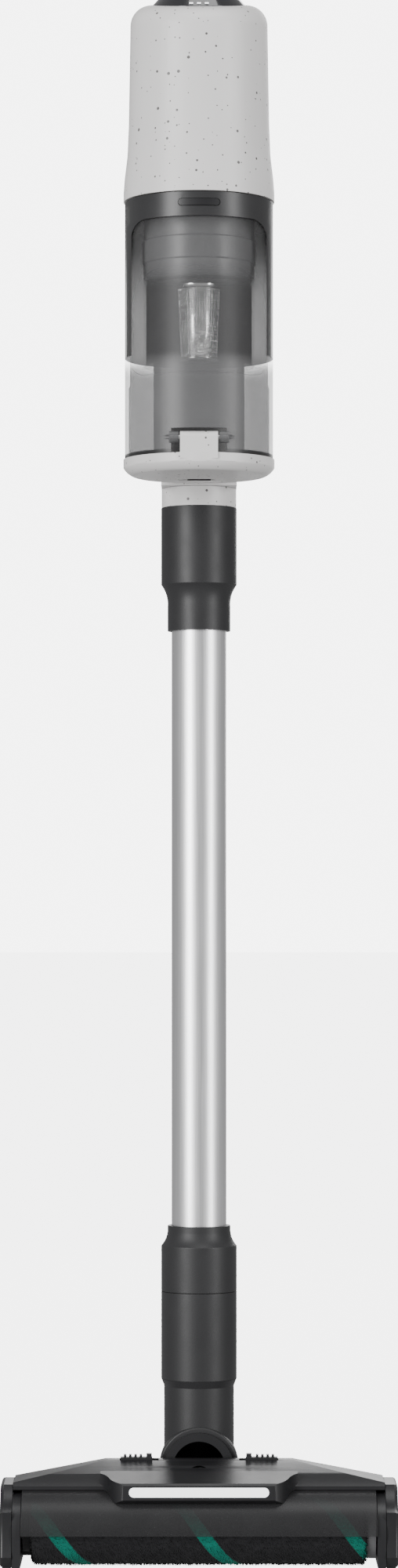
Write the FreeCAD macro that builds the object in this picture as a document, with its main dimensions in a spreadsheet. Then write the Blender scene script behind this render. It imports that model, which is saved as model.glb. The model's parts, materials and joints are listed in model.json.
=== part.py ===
import FreeCAD, Part
import math
import os
import Sketcher

# Cordless stick vacuum standing upright on its floor head.
# Millimetres; +Z up, the front faces -Y, the origin is on the floor under the wand's axis.

doc = FreeCAD.newDocument("StickVacuum")
sheet = doc.addObject("Spreadsheet::Sheet", "Sizes")
Vector = FreeCAD.Vector
subparts = []


class Size:
    """A number together with the sheet expression that gives it."""

    def __init__(self, value, text):
        self.value = float(value)
        self.text = text

    def combined(self, other, sign, flipped=False):
        left, right = (as_size(other), self) if flipped else (self, as_size(other))
        results = {
            "+": left.value + right.value,
            "-": left.value - right.value,
            "*": left.value * right.value,
        }
        return Size(results[sign], f"({left.text} {sign} {right.text})")

    def __add__(self, other):
        return self.combined(other, "+")

    def __radd__(self, other):
        return self.combined(other, "+", True)

    def __sub__(self, other):
        return self.combined(other, "-")

    def __rsub__(self, other):
        return self.combined(other, "-", True)

    def __mul__(self, other):
        return self.combined(other, "*")

    def __rmul__(self, other):
        return self.combined(other, "*", True)

    def __neg__(self):
        return self.combined(-1, "*")


def as_size(number):
    if isinstance(number, Size):
        return number
    return Size(number, f"({float(number):.6f})")


def size(alias, value):
    """Adds one row to the sheet and returns the Size that reads it."""
    row = len(sheet.getUsedCells()) // 2 + 1
    sheet.set(f"A{row}", alias)
    sheet.set(f"B{row}", str(value))
    sheet.setAlias(f"B{row}", alias)
    return Size(value, f"Sizes.{alias}")


# ---- driving dimensions -------------------------------------------------------------------
# floor head
head_half = size("head_half", 134.8)
cap_inner = size("cap_inner", 126.5)
frame_inner = size("frame_inner", 120.5)
roller_axis_y = size("roller_axis_y", -60.5)
roller_axis_z = size("roller_axis_z", 23.8)
pile_radius = size("pile_radius", 23.3)
core_radius = size("core_radius", 18.4)
roller_half = size("roller_half", 113)
hood_radius = size("hood_radius", 28.9)
hood_wall = size("hood_wall", 2.2)
well_half = size("well_half", 34.5)
plate_low = size("plate_low", 3)
plate_high = size("plate_high", 7)
drive_axis_y = size("drive_axis_y", -13.5)
drive_axis_z = size("drive_axis_z", 22)
pulley_radius = size("pulley_radius", 6)
wheel_axis_y = size("wheel_axis_y", 22)
wheel_radius = size("wheel_radius", 13)
wheel_near = size("wheel_near", 57)
wheel_far = size("wheel_far", 67)
lens_half = size("lens_half", 47.2)
lens_height = size("lens_height", 53.3)
# swivel and wand
pitch_height = size("pitch_height", 40)
swivel_height = size("swivel_height", 62.5)
ring_radius = size("ring_radius", 27.2)
mouth_radius = size("mouth_radius", 22)
elbow_radius = size("elbow_radius", 24.2)
hose_radius = size("hose_radius", 10)
hose_height = size("hose_height", 55.5)
coupling_low = size("coupling_low", 121)
coupling_high = size("coupling_high", 181.4)
collar_radius = size("collar_radius", 26.2)
waist_radius = size("waist_radius", 21.8)
wand_radius = size("wand_radius", 19)
wand_wall = size("wand_wall", 1.3)
wand_low = size("wand_low", 190)
wand_high = size("wand_high", 688)
lower_collar_high = size("lower_collar_high", 227)
upper_collar_low = size("upper_collar_low", 639)
upper_collar_high = size("upper_collar_high", 724)
neck_radius = size("neck_radius", 25.9)
# hand unit
bin_axis = size("bin_axis", -79)
bin_radius = size("bin_radius", 50)
cup_wall = size("cup_wall", 2)
cup_low = size("cup_low", 749.4)
cup_step = size("cup_step", 817)
window_low = size("window_low", 802)
window_high = size("window_high", 906)
bin_high = size("bin_high", 922)
lid_low = size("lid_low", 738)
lid_radius = size("lid_radius", 51)
hinge_y = size("hinge_y", -124.5)
hinge_z = size("hinge_z", 759.5)
cyclone_radius = size("cyclone_radius", 37.4)
cyclone_low = size("cyclone_low", 812)
housing_low = size("housing_low", 922.6)
housing_radius = size("housing_radius", 50.9)
housing_wall = size("housing_wall", 2.4)
panel_height = size("panel_height", 1056)
panel_tilt = size("panel_tilt", 13.5)
panel_radius = size("panel_radius", 31)
spine_half = size("spine_half", 26)
spine_front = size("spine_front", -27.4)
spine_back = size("spine_back", 25.9)
handle_back = size("handle_back", 130)
handle_half = size("handle_half", 15)
handle_high = size("handle_high", 1046)
dock_low = size("dock_low", 858)
dock_high = size("dock_high", 872)
battery_half = size("battery_half", 32)
battery_front = size("battery_front", 36)
battery_back = size("battery_back", 98)
battery_low = size("battery_low", 770)
cell_radius = size("cell_radius", 9.1)


# ---- building blocks ----------------------------------------------------------------------
def bind(thing, prop, number):
    thing.setExpression(prop, as_size(number).text)


def place(thing, x, y, z, rotation=None):
    corner = Vector(as_size(x).value, as_size(y).value, as_size(z).value)
    thing.Placement = FreeCAD.Placement(corner, rotation or FreeCAD.Rotation())
    for axis, number in (("x", x), ("y", y), ("z", z)):
        bind(thing, f"Placement.Base.{axis}", number)


def named(thing, label):
    """Registers a finished sub-part under its own label."""
    thing.Label = label
    subparts.append(thing)
    return thing


def box(x0, x1, y0, y1, z0, z1):
    thing = doc.addObject("Part::Box", "Block")
    for prop, low, high in (("Length", x0, x1), ("Width", y0, y1), ("Height", z0, z1)):
        bind(thing, prop, as_size(high) - low)
    place(thing, x0, y0, z0)
    return thing


TURNS = {
    "X": FreeCAD.Rotation(Vector(0, 1, 0), 90),
    "Y": FreeCAD.Rotation(Vector(1, 0, 0), -90),
    "Z": FreeCAD.Rotation(),
}


def rod(radius, low, high, x=0, y=0, z=0, along="Z"):
    """A cylinder from low to high along one axis; the other two coordinates centre it."""
    thing = doc.addObject("Part::Cylinder", "Rod")
    bind(thing, "Radius", radius)
    bind(thing, "Height", as_size(high) - low)
    start = {"X": x, "Y": y, "Z": z}
    start[along] = low
    place(thing, start["X"], start["Y"], start["Z"], TURNS[along])
    return thing


def cone(low_radius, high_radius, low, high, x=0, y=0):
    thing = doc.addObject("Part::Cone", "Taper")
    bind(thing, "Radius1", low_radius)
    bind(thing, "Radius2", high_radius)
    bind(thing, "Height", as_size(high) - low)
    place(thing, x, y, low)
    return thing


def sine(angle):
    return Size(math.sin(math.radians(angle.value)), f"sin({angle.text})")


def cosine(angle):
    return Size(math.cos(math.radians(angle.value)), f"cos({angle.text})")


def ball(radius, x, y, z):
    thing = doc.addObject("Part::Sphere", "Ball")
    bind(thing, "Radius", radius)
    place(thing, x, y, z)
    return thing


def fuse(*things):
    if len(things) == 1:
        return things[0]
    thing = doc.addObject("Part::MultiFuse", "Joined")
    thing.Shapes = list(things)
    return thing


def group(*things):
    """Separate solids that share one node, such as a set of equal screws."""
    thing = doc.addObject("Part::Compound", "Group")
    thing.Links = list(things)
    return thing


def cut(base, *tools):
    thing = doc.addObject("Part::Cut", "Trimmed")
    thing.Base = base
    thing.Tool = fuse(*tools)
    return thing


def common(*things):
    thing = doc.addObject("Part::MultiCommon", "Shared")
    thing.Shapes = list(things)
    return thing


def rounded(base, radius, picks):
    """Rounds the edges of base for which picks(edge) is true."""
    doc.recompute()
    chosen = [i + 1 for i, edge in enumerate(base.Shape.Edges) if picks(edge)]
    thing = doc.addObject("Part::Fillet", "Rounded")
    thing.Base = base
    thing.Edges = [(index, radius, radius) for index in chosen]
    return thing


def parallel(edge, direction):
    """True where a straight edge runs along direction."""
    if edge.Curve.TypeId != "Part::GeomLine":
        return False
    return abs(edge.Curve.Direction.dot(direction)) > 0.999


def plane_of(body, role):
    return [item for item in body.Origin.OriginFeatures if item.Role == role][0]


def arc_between(start, end, radius):
    """The short arc from start to end; a positive radius bulges to the right of the way."""
    chord = end - start
    middle = (start + end) * 0.5
    side = Vector(-chord.y, chord.x, 0).normalize()
    reach = math.sqrt(max(radius * radius - chord.Length ** 2 / 4, 0))
    centre = middle + side * math.copysign(reach, radius)
    first, last = (start, end) if radius > 0 else (end, start)
    angles = [math.atan2(p.y - centre.y, p.x - centre.x) for p in (first, last)]
    circle = Part.Circle(centre, Vector(0, 0, 1), abs(radius))
    return Part.ArcOfCircle(circle, angles[0], angles[1])


def outline(body, role, corners):
    """A closed sketch through corners, each (u, v) or (u, v, radius of the arc to the next)."""
    sketch = body.newObject("Sketcher::SketchObject", "Outline")
    sketch.AttachmentSupport = (plane_of(body, role), [""])
    sketch.MapMode = "FlatFace"
    points = [Vector(as_size(c[0]).value, as_size(c[1]).value, 0) for c in corners]
    starts, ends = [], []
    for index, corner in enumerate(corners):
        here, there = points[index], points[(index + 1) % len(points)]
        radius = corner[2] if len(corner) > 2 else 0
        line = arc_between(here, there, radius) if radius else Part.LineSegment(here, there)
        sketch.addGeometry(line)
        starts.append(2 if radius < 0 else 1)
        ends.append(1 if radius < 0 else 2)
    for index, corner in enumerate(corners):
        following = (index + 1) % len(corners)
        sketch.addConstraint(
            Sketcher.Constraint("Coincident", index, ends[index], following, starts[following])
        )
        if len(corner) > 2:
            sketch.addConstraint(Sketcher.Constraint("Radius", index, abs(corner[2])))
        for kind, number in (("DistanceX", corner[0]), ("DistanceY", corner[1])):
            number = as_size(number)
            rule = Sketcher.Constraint(kind, index, starts[index], number.value)
            place_in_list = sketch.addConstraint(rule)
            sketch.setExpression(f"Constraints[{place_in_list}]", number.text)
    return sketch


def revolved(corners, y=0):
    """A solid of revolution about a vertical axis at y, from (radius, height) corners."""
    body = doc.addObject("PartDesign::Body", "Turned")
    sketch = outline(body, "XZ_Plane", corners)
    turn = body.newObject("PartDesign::Revolution", "Turn")
    turn.Profile = sketch
    turn.ReferenceAxis = (sketch, ["V_Axis"])
    turn.Angle = 360
    place(body, 0, y, 0)
    return body


def side_pad(corners, x0, x1):
    """A (y, z) outline drawn on the side plane and padded from x0 to x1."""
    body = doc.addObject("PartDesign::Body", "SidePad")
    sketch = outline(body, "YZ_Plane", corners)
    pad = body.newObject("PartDesign::Pad", "Pad")
    pad.Profile = sketch
    bind(pad, "Length", as_size(x1) - x0)
    place(body, x0, 0, 0)
    return body


def plan_pad(corners, z0, z1):
    """An (x, y) outline drawn on the ground plane and padded from z0 to z1."""
    body = doc.addObject("PartDesign::Body", "PlanPad")
    sketch = outline(body, "XY_Plane", corners)
    pad = body.newObject("PartDesign::Pad", "Pad")
    pad.Profile = sketch
    bind(pad, "Length", as_size(z1) - z0)
    place(body, 0, 0, z0)
    return body


def pair(maker):
    """The same piece on the right and on the left."""
    return [maker(sign) for sign in (1, -1)]


def span(sign, near, far):
    """Low and high x of a stretch from near to far on one side."""
    return (near, far) if sign > 0 else (-as_size(far), -as_size(near))


# ---- floor head ---------------------------------------------------------------------------
def roller_rod(radius, x0, x1):
    return rod(radius, x0, x1, y=roller_axis_y, z=roller_axis_z, along="X")


def sole_plate():
    """The chassis: a floor plate, the two roller frames, hinge ears and wheel pods."""
    frame_radius = 26.3
    journal_bore = 5.05
    ear_radius = 9
    pin_bore = 4.03
    ear_near, ear_far = 30.8, 35.4
    pod_near, pod_far = 53.2, 70.8

    def frame(sign):
        x0, x1 = span(sign, frame_inner, cap_inner - 0.3)
        disc = roller_rod(frame_radius, x0, x1)
        lug = box(x0, x1, -86.8, roller_axis_y, plate_low - 0.4, roller_axis_z - 0.4)
        web = box(x0, x1, roller_axis_y, 8, plate_low, 20)
        trimmed = common(fuse(disc, lug, web), box(x0, x1, -90, 20, 2.6, 60))
        return cut(trimmed, roller_rod(journal_bore, x0, x1))

    def ear(sign):
        x0, x1 = span(sign, ear_near, ear_far)
        post = box(x0, x1, -ear_radius, ear_radius, plate_high - 1, pitch_height)
        head = rod(ear_radius, x0, x1, z=pitch_height, along="X")
        return cut(fuse(post, head), rod(pin_bore, x0, x1, z=pitch_height, along="X"))

    def pod(sign):
        x0, x1 = span(sign, pod_near, pod_far)
        block = box(x0, x1, 14, 33, plate_low, 20)
        shaped = rounded(block, 4, lambda edge: edge.CenterOfMass.y > 32 and parallel(edge, Vector(1, 0, 0)))
        w0, w1 = span(sign, wheel_near - 0.6, wheel_far + 0.6)
        well = box(w0, w1, 7.5, 36, 0, 40)
        axle_hole = rod(1.55, x0, x1, y=wheel_axis_y, z=wheel_radius, along="X")
        return cut(shaped, well, axle_hole)

    def screw_hole(x, y):
        return fuse(rod(1.7, 0, 12, x, y), rod(3.2, 0, plate_low + 1.9, x, y))

    floor = box(-frame_inner, frame_inner, -33, 18, plate_low, plate_high)
    wells = [box(*span(s, wheel_near - 0.6, wheel_far + 0.6), 7.5, 36, 0, 40) for s in (1, -1)]
    motor_seat = cut(
        box(-104, -56, -24, -3, plate_high - 1, 15),
        rod(14.1, -105, -55, y=drive_axis_y, z=drive_axis_z, along="X"),
    )
    bare = fuse(floor, motor_seat, *pair(frame), *pair(ear), *pair(pod))
    holes = [screw_hole(x, y) for x, y in SCREW_SPOTS]
    named(cut(bare, *wells, *holes), "sole_plate")


SCREW_SPOTS = [(-45, -20), (45, -20), (-100, 10), (100, 10)]


def cover_shape(inset):
    """The head cover's outer form, or its inner cavity when inset is more than nothing."""
    half = cap_inner - 0.3 - inset
    crown = 69.5 - inset
    profile = [
        (-66 + inset, 40),
        (-66 + inset, 55 - inset, -70),
        (-38, crown),
        (-30.2 + inset, crown),
        (-24 - inset * 0.5, 50 - inset),
        (0, 40 - inset),
        (17.5 - inset, 27 - inset * 0.5),
        (18.4 - inset, plate_high + 0.2 - inset),
        (-50, plate_high + 0.2 - inset),
        (-50, 40),
    ]
    bulk = side_pad(profile, -half, half)

    return cut(bulk, *[slope_cutter(sign, crown) for sign in (1, -1)])


def slope_cutter(sign, crown):
    """A block above the shoulder that falls from the crown to the side cap."""
    start, end, drop = 64, 127, 12.4
    body = doc.addObject("PartDesign::Body", "Shoulder")
    corners = [(sign * start, crown), (sign * end, crown - drop), (sign * end, crown + 20), (sign * start, crown + 20)]
    if sign < 0:
        corners.reverse()
    sketch = outline(body, "XZ_Plane", corners)
    pad = body.newObject("PartDesign::Pad", "Pad")
    pad.Profile = sketch
    pad.Length = 200
    pad.Midplane = True
    return body


def head_cover():
    """The dark upper shell with its nose for the light strip and slots for the latches."""
    shell_gap = 0.35
    nose_plan = plan_pad([
        (-72, -60), (-72, -62, -16), (-61, -72.5, 20), (-51, -84.6), (51, -84.6, 20), (61, -72.5, -16), (72, -62),
        (72, -60),
    ], 40, 75)
    nose_side = side_pad([(-40, 69.1), (-83.2, 59.2), (-84.6, 57.8), (-84.6, 48), (-78, 44), (-40, 44)], -67, 67)
    outer = fuse(cover_shape(0), common(nose_plan, nose_side))
    cavity = cut(cover_shape(hood_wall.value), roller_rod(hood_radius + shell_gap + hood_wall, -130, 130))
    lens_slot = lens_bar(lens_half + 0.15, -86, -77.5, 3.35)
    lamp_room = box(-48.5, 48.5, -82.2, -72, 49.4, 57.3)
    tunnel = rod(hose_radius + 0.9, -50, -28, z=hose_height, along="Y")
    belt_room = box(-cap_inner, -roller_half - 0.6, -70, 5, plate_high, 36)
    latch_slots = [box(*span(s, 27.6, 54.4), -39.6, -32.6, 62, 75) for s in (1, -1)]
    pods = [box(*span(s, 52.8, 71.2), 7, 36, 0, 20.4) for s in (1, -1)]
    arches = [
        rod(
            wheel_radius + 1.2, *span(s, wheel_near - 0.6, wheel_far + 0.6),
            y=wheel_axis_y, z=wheel_radius, along="X",
        )
        for s in (1, -1)
    ]
    ears = [box(*span(s, 30.5, 35.8), -9.6, 9.6, 0, 52) for s in (1, -1)]
    well = box(-well_half, well_half, -30, 40, 0, 80)
    window_seat = roller_rod(hood_radius + shell_gap, -130, 130)
    frames = [roller_rod(27, *span(s, frame_inner - 0.3, 130)) for s in (1, -1)]
    webs = [box(*span(s, frame_inner - 0.3, 130), -66, 8.4, 0, 20.3) for s in (1, -1)]
    posts = [
        common(
            cut(rod(3.6, plate_high + 0.3, 60, x, y), rod(1.6, plate_high, 22, x, y)),
            cover_shape(0.8),
        )
        for x, y in SCREW_SPOTS
    ]
    shell = cut(
        outer, window_seat, cavity, lens_slot, lamp_room, tunnel, belt_room, well,
        *latch_slots, *pods, *arches, *ears, *frames, *webs,
    )
    named(fuse(shell, *posts), "head_cover")


def lens_bar(half, y0, y1, radius):
    """A bar with round ends that runs across the nose."""
    flat = half - radius
    middle = box(-flat, flat, y0, y1, lens_height - radius, lens_height + radius)
    ends = [rod(radius, y0, y1, x=sign * flat, z=lens_height, along="Y") for sign in (1, -1)]
    return fuse(middle, *ends)


def head_front():
    """The smoked roller window and the light strip."""
    tube = cut(roller_rod(hood_radius, -frame_inner + 0.4, frame_inner - 0.4), roller_rod(26.6, -130, 130))
    quarter = box(-130, 130, -95, -54, roller_axis_z + 0.4, 60)
    named(common(tube, quarter), "roller_window")
    named(lens_bar(lens_half, -85.2, -82.6, 3.2), "light_lens")


def side_caps():
    """The left and right cheeks of the head, with the feet below them."""
    profile = [
        (-82, 2.6), (-88.4, 10, 60), (-86, 40, 30), (-64, 56),
        (-38, 57.4), (-28, 56), (-6, 42), (14, 28), (19, 8), (17, 3.2),
    ]
    plate = side_pad(profile, cap_inner, head_half)
    right = rounded(plate, 2.6, lambda edge: abs(edge.CenterOfMass.x - head_half.value) < 0.05)
    named(right, "side_cap_right")
    left = doc.addObject("Part::Mirroring", "LeftCap")
    left.Source = right
    left.Normal = Vector(1, 0, 0)
    named(left, "side_cap_left")
    feet = [
        rounded(box(*span(s, 127, 133), -80, -66, 0, 2.4), 0.8, lambda edge: edge.CenterOfMass.z < 0.1)
        for s in (1, -1)
    ]
    named(group(*feet), "glide_feet")


def drive():
    """The roller's motor, its pulley and the belt that joins them."""
    can = rod(14, -108, -54, y=drive_axis_y, z=drive_axis_z, along="X")
    nose = rod(5, -111, -108, y=drive_axis_y, z=drive_axis_z, along="X")
    shaft_hole = rod(2.05, -111, -100, y=drive_axis_y, z=drive_axis_z, along="X")
    named(cut(fuse(can, nose), shaft_hole), "drive_motor")
    wheel = rod(pulley_radius, -119.6, -114.4, y=drive_axis_y, z=drive_axis_z, along="X")
    shaft = rod(2, -114.4, -102, y=drive_axis_y, z=drive_axis_z, along="X")
    named(fuse(wheel, shaft), "motor_pulley")
    belt = doc.addObject("Part::Feature", "Belt")
    wide, narrow, thick = pulley_radius.value * 2 + 0.15, pulley_radius.value + 0.15, 1.4
    outside = belt_face(wide + thick, narrow + thick)
    inside = belt_face(wide, narrow)
    belt.Shape = outside.cut(inside).extrude(Vector(4.6, 0, 0))
    place(belt, -119.3, 0, 0)
    named(belt, "drive_belt")


def belt_face(wide, narrow):
    """The face bounded by a belt round the roller's wide pulley and the motor's narrow one."""
    first = Vector(0, roller_axis_y.value, roller_axis_z.value)
    second = Vector(0, drive_axis_y.value, drive_axis_z.value)
    way = second - first
    heading = math.atan2(way.z, way.y)
    lean = math.acos((wide - narrow) / way.Length)

    def rim(centre, radius, angle):
        return centre + Vector(0, math.cos(angle), math.sin(angle)) * radius

    top, bottom = heading + lean, heading - lean
    a, b = rim(first, wide, top), rim(first, wide, bottom)
    c, d = rim(second, narrow, bottom), rim(second, narrow, top)
    back = Part.Arc(a, rim(first, wide, heading + math.pi), b).toShape()
    front = Part.Arc(c, rim(second, narrow, heading), d).toShape()
    edges = [back, Part.LineSegment(b, c).toShape(), front, Part.LineSegment(d, a).toShape()]
    return Part.Face(Part.Wire(edges))


def head_details():
    """The rubber lip, the pins and axles, the screws and the two cover latches."""
    named(box(-112, 112, -35, -33.15, 1, 7), "rear_lip")
    pins = [rod(4, *span(s, 27, 35.4), z=pitch_height, along="X") for s in (1, -1)]
    axles = [rod(1.5, *span(s, 53.4, 70.6), y=wheel_axis_y, z=wheel_radius, along="X") for s in (1, -1)]
    named(group(*pins, *axles), "axle_pins")
    screws = [
        cut(
            fuse(rod(1.5, plate_low + 1.9, 20, x, y), rod(2.9, plate_low + 0.3, plate_low + 1.8, x, y),
                 rod(1.5, plate_low + 1.7, plate_low + 2, x, y)),
            box(x - 0.4, x + 0.4, y - 2, y + 2, plate_low, plate_low + 1),
        )
        for x, y in SCREW_SPOTS
    ]
    named(group(*screws), "head_screws")
    for sign, side in ((1, "right"), (-1, "left")):
        slab = box(*span(sign, 32, 53.8), -39, -33.2, 64, 71)
        flange = box(*span(sign, 25.8, 56.6), -41, -31.6, 62.6, 64.2)
        ribs = [box(*span(sign, x, x + 1.7), -38.4, -33.8, 70.8, 72.8) for x in (39, 42.6, 46.2, 49.8)]
        ribs.append(box(*span(sign, 32.4, 36), -38.4, -33.8, 70.8, 73.4))
        named(fuse(slab, flange, *ribs), f"cover_latch_{side}")
        wheel = rod(wheel_radius, *span(sign, wheel_near, wheel_far), y=wheel_axis_y, z=wheel_radius, along="X")
        bore = rod(1.56, *span(sign, wheel_near, wheel_far), y=wheel_axis_y, z=wheel_radius, along="X")
        dish = rod(8.5, *span(sign, wheel_far - 2, wheel_far), y=wheel_axis_y, z=wheel_radius, along="X")
        rim = rounded(cut(wheel, bore, dish), 1.5, lambda edge: edge.Length > 75)
        named(rim, f"rear_wheel_{side}")


def roller():
    """The brush roller: a core, its pile sleeve, one helical stripe and the two ends."""
    named(cut(roller_rod(core_radius, -roller_half, roller_half), roller_rod(15.5, -120, 120)), "roller_core")
    sleeve_inner = core_radius + 0.05
    pile = cut(roller_rod(pile_radius - 0.6, -roller_half, roller_half), roller_rod(sleeve_inner, -120, 120))
    named(pile, "roller_pile")
    pitch, strip_width, start = 100, 10.6, 8.6
    helix = Part.makeHelix(pitch, 2 * roller_half.value - strip_width, pile_radius.value - 0.3)
    helix.rotate(Vector(0, 0, 0), Vector(0, 0, 1), start)
    section = Part.makePolygon([
        Vector(pile_radius.value - 0.55, 0, 0), Vector(pile_radius.value, 0, 0),
        Vector(pile_radius.value, 0, strip_width), Vector(pile_radius.value - 0.55, 0, strip_width),
        Vector(pile_radius.value - 0.55, 0, 0),
    ])
    section.rotate(Vector(0, 0, 0), Vector(0, 0, 1), start)
    strip = doc.addObject("Part::Feature", "Strip")
    strip.Shape = Part.Wire(helix.Edges).makePipeShell([section], True, True)
    place(strip, -roller_half, roller_axis_y, roller_axis_z, TURNS["X"])
    named(strip, "roller_stripe")
    plug_radius = 15.4
    pulley = fuse(
        roller_rod(pulley_radius * 2, -119.6, -113.2), roller_rod(plug_radius, -113.3, -104),
        roller_rod(5, -126, -119.6),
    )
    knob = fuse(
        roller_rod(pile_radius - 5, 113.2, 119.6), roller_rod(plug_radius, 104, 113.3), roller_rod(5, 119.6, 126),
    )
    named(group(pulley, knob), "roller_ends")


sole_plate()
head_cover()
head_front()
side_caps()
drive()
head_details()
roller()


# ---- swivel and neck ----------------------------------------------------------------------
def along_y(radius, y0, y1, z=swivel_height):
    return rod(radius, y0, y1, z=z, along="Y")


def swivel():
    """The tilting carrier, the air hose through it and the elbow that turns on its spigot."""
    spigot_radius, bore, flange_front, flange_back = 21.5, 18, -29.2, -26.6
    arm_near, arm_far, arm_bore = 27.2, 30, 4.05

    def arm(sign):
        x0, x1 = span(sign, arm_near, arm_far)
        bar = box(x0, x1, flange_front, 0, 35, 45)
        return fuse(bar, rod(8.5, x0, x1, z=pitch_height, along="X"))

    bridge = box(-arm_far, arm_far, flange_front, flange_back, 35, 54)
    solid = fuse(
        along_y(spigot_radius, flange_front, -9), along_y(23.8, flange_front, flange_back), bridge, *pair(arm)
    )
    holes = rod(arm_bore, -31, 31, z=pitch_height, along="X")
    named(cut(solid, along_y(bore, -31, -5), holes), "swivel_carrier")
    hose = along_y(hose_radius, -46, -13, hose_height)
    hose_bore = along_y(hose_radius - 1.6, -50, -5, hose_height)
    named(cut(hose, hose_bore), "air_hose")

    wall = elbow_radius - 21.9
    outer = fuse(
        rod(elbow_radius, swivel_height, coupling_low), ball(elbow_radius, 0, 0, swivel_height),
        along_y(ring_radius, -22.4, -6), cone(elbow_radius, collar_radius, coupling_low - 5, coupling_low),
    )
    inner = fuse(
        rod(elbow_radius - wall, swivel_height, coupling_low + 1),
        ball(elbow_radius - wall, 0, 0, swivel_height), along_y(mouth_radius, -30, -2),
    )
    named(cut(outer, inner), "neck_elbow")
    ring = cut(along_y(ring_radius, -26.2, -22.5), along_y(mouth_radius + 0.1, -30, -20))
    band = rounded(ring, 1.4, lambda edge: edge.CenterOfMass.y < -26.1)
    named(cut(band, rod(elbow_radius + 0.05, swivel_height, coupling_low)), "swivel_ring")


def push_button(label, inner, outer, half, z0, z1):
    """A release button let into the back of a round collar."""
    curved = cut(rod(outer, z0, z1), rod(inner, z0 - 1, z1 + 1))
    named(common(curved, box(-half, half, 0, 40, z0, z1)), label)


def neck_and_wand():
    """The coupling on the elbow, the two collars, the wand tube and their release buttons."""
    gap = 0.35
    coupling = revolved([
        (21.9, coupling_low + 0.1), (collar_radius, coupling_low + 0.1), (collar_radius, coupling_high),
        (22.4, coupling_high), (22.4, 133), (21.9, 133),
    ])
    window = box(-6 - gap, 6 + gap, 10, 40, 150 - gap, 168 + gap)
    named(cut(coupling, window), "neck_coupling")
    push_button("nozzle_button", 23.5, collar_radius + 0.8, 6, 150, 168)
    named(revolved([
        (17.5, 137), (22, 137), (22, coupling_high + 0.2), (collar_radius, coupling_high + 0.2),
        (collar_radius, 213, -17), (waist_radius, 223), (waist_radius, lower_collar_high),
        (wand_radius + 0.05, lower_collar_high), (wand_radius + 0.05, wand_low - 0.2), (17.5, wand_low - 0.2),
    ]), "lower_collar")
    bore = wand_radius - wand_wall
    named(cut(rod(wand_radius, wand_low, wand_high), rod(bore, 100, 800)), "wand_tube")
    collar = revolved([
        (wand_radius + 0.05, upper_collar_low), (waist_radius, upper_collar_low), (waist_radius, 656, -22),
        (collar_radius, 671), (collar_radius, upper_collar_high), (23.2, upper_collar_high), (23.2, 694),
        (17.5, 694), (17.5, wand_high + 0.2), (wand_radius + 0.05, wand_high + 0.2),
    ])
    window = box(-7 - gap, 7 + gap, 10, 40, 699 - gap, 717 + gap)
    named(cut(collar, window), "upper_collar")
    push_button("wand_button", 24.3, collar_radius + 0.8, 7, 699, 717)
    named(revolved([
        (19, 697), (22.8, 697), (22.8, upper_collar_high + 0.2), (neck_radius, upper_collar_high + 0.2),
        (neck_radius, lid_low - 0.5), (19, lid_low - 0.5),
    ]), "inlet_neck")


swivel()
neck_and_wand()


# ---- hand unit ----------------------------------------------------------------------------
def housing_form(offset, rim):
    """The motor housing's outer form grown by offset, with its sloping top rounded by rim."""
    base = housing_low if offset > -1 else housing_low - 2
    turned = revolved([
        (0, base), (housing_radius + offset, base), (housing_radius + offset, 929), (50.2 + offset, 938),
        (48.3 + offset, 954), (47.4 + offset, 975), (45.4 + offset, 1095), (0, 1095),
    ], bin_axis)
    above = tilted_box(-100, 100, -100, 100, offset, 120)
    return rounded(cut(turned, above), rim, lambda edge: edge.CenterOfMass.z > 1040 and edge.Length > 200)


def tilt(thing, x, along, up, turn=None):
    """Places a thing in the sloping frame of the control panel."""
    slope_sine, slope_cosine = sine(panel_tilt), cosine(panel_tilt)
    lean = FreeCAD.Rotation(Vector(1, 0, 0), panel_tilt.value)
    y = bin_axis + slope_cosine * along - slope_sine * up
    z = panel_height + slope_sine * along + slope_cosine * up
    place(thing, x, y, z, lean)
    return thing


def tilted_box(x0, x1, v0, v1, w0, w1):
    return tilt(box(x0, x1, v0, v1, w0, w1), x0, v0, w0)


def tilted_rod(radius, w0, w1):
    return tilt(rod(radius, w0, w1), 0, 0, w0)


def tilted_cone(low_radius, high_radius, w0, w1):
    return tilt(cone(low_radius, high_radius, w0, w1), 0, 0, w0)


def motor_unit():
    """The pale housing on its deck, with the motor, fan and outlet filter inside."""
    shell = cut(housing_form(0, 14), housing_form(-housing_wall.value, 11.5), tilted_rod(panel_radius + 0.4, -8, 12))
    named(shell, "motor_housing")
    deck_high = housing_low + 4
    named(cut(rod(48.2, housing_low + 0.2, deck_high, y=bin_axis), rod(20, 900, 940, y=bin_axis)), "motor_deck")
    hub = rod(7, 938, 950, y=bin_axis)
    disc = rod(25.5, 938, 940, y=bin_axis)
    shaft = rod(2, 950, 984, y=bin_axis)
    blades = []
    for index in range(9):
        blade = box(6, 25, -0.6, 0.6, 939.5, 948)
        turn = FreeCAD.Rotation(Vector(0, 0, 1), 40 * index)
        arm = turn.multVec(Vector(6, -0.6, 0))
        place(blade, arm.x, bin_axis + arm.y, 939.5, turn)
        blades.append(blade)
    named(fuse(hub, disc, shaft, *blades), "impeller")
    can = fuse(rod(22, 954, 988, y=bin_axis), rod(11, 988, 994, y=bin_axis))
    brackets = [box(*span(s, 21, 43.6), bin_axis - 4, bin_axis + 4, 954, 957.5) for s in (1, -1)]
    feet = [rod(3.5, deck_high + 0.1, 955, x=s * 40, y=bin_axis) for s in (1, -1)]
    named(cut(fuse(can, *brackets, *feet), rod(2.05, 950, 985, y=bin_axis)), "motor_body")
    named(cut(rod(42.6, 1000, 1012, y=bin_axis), rod(9, 990, 1020, y=bin_axis)), "exhaust_filter")


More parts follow.
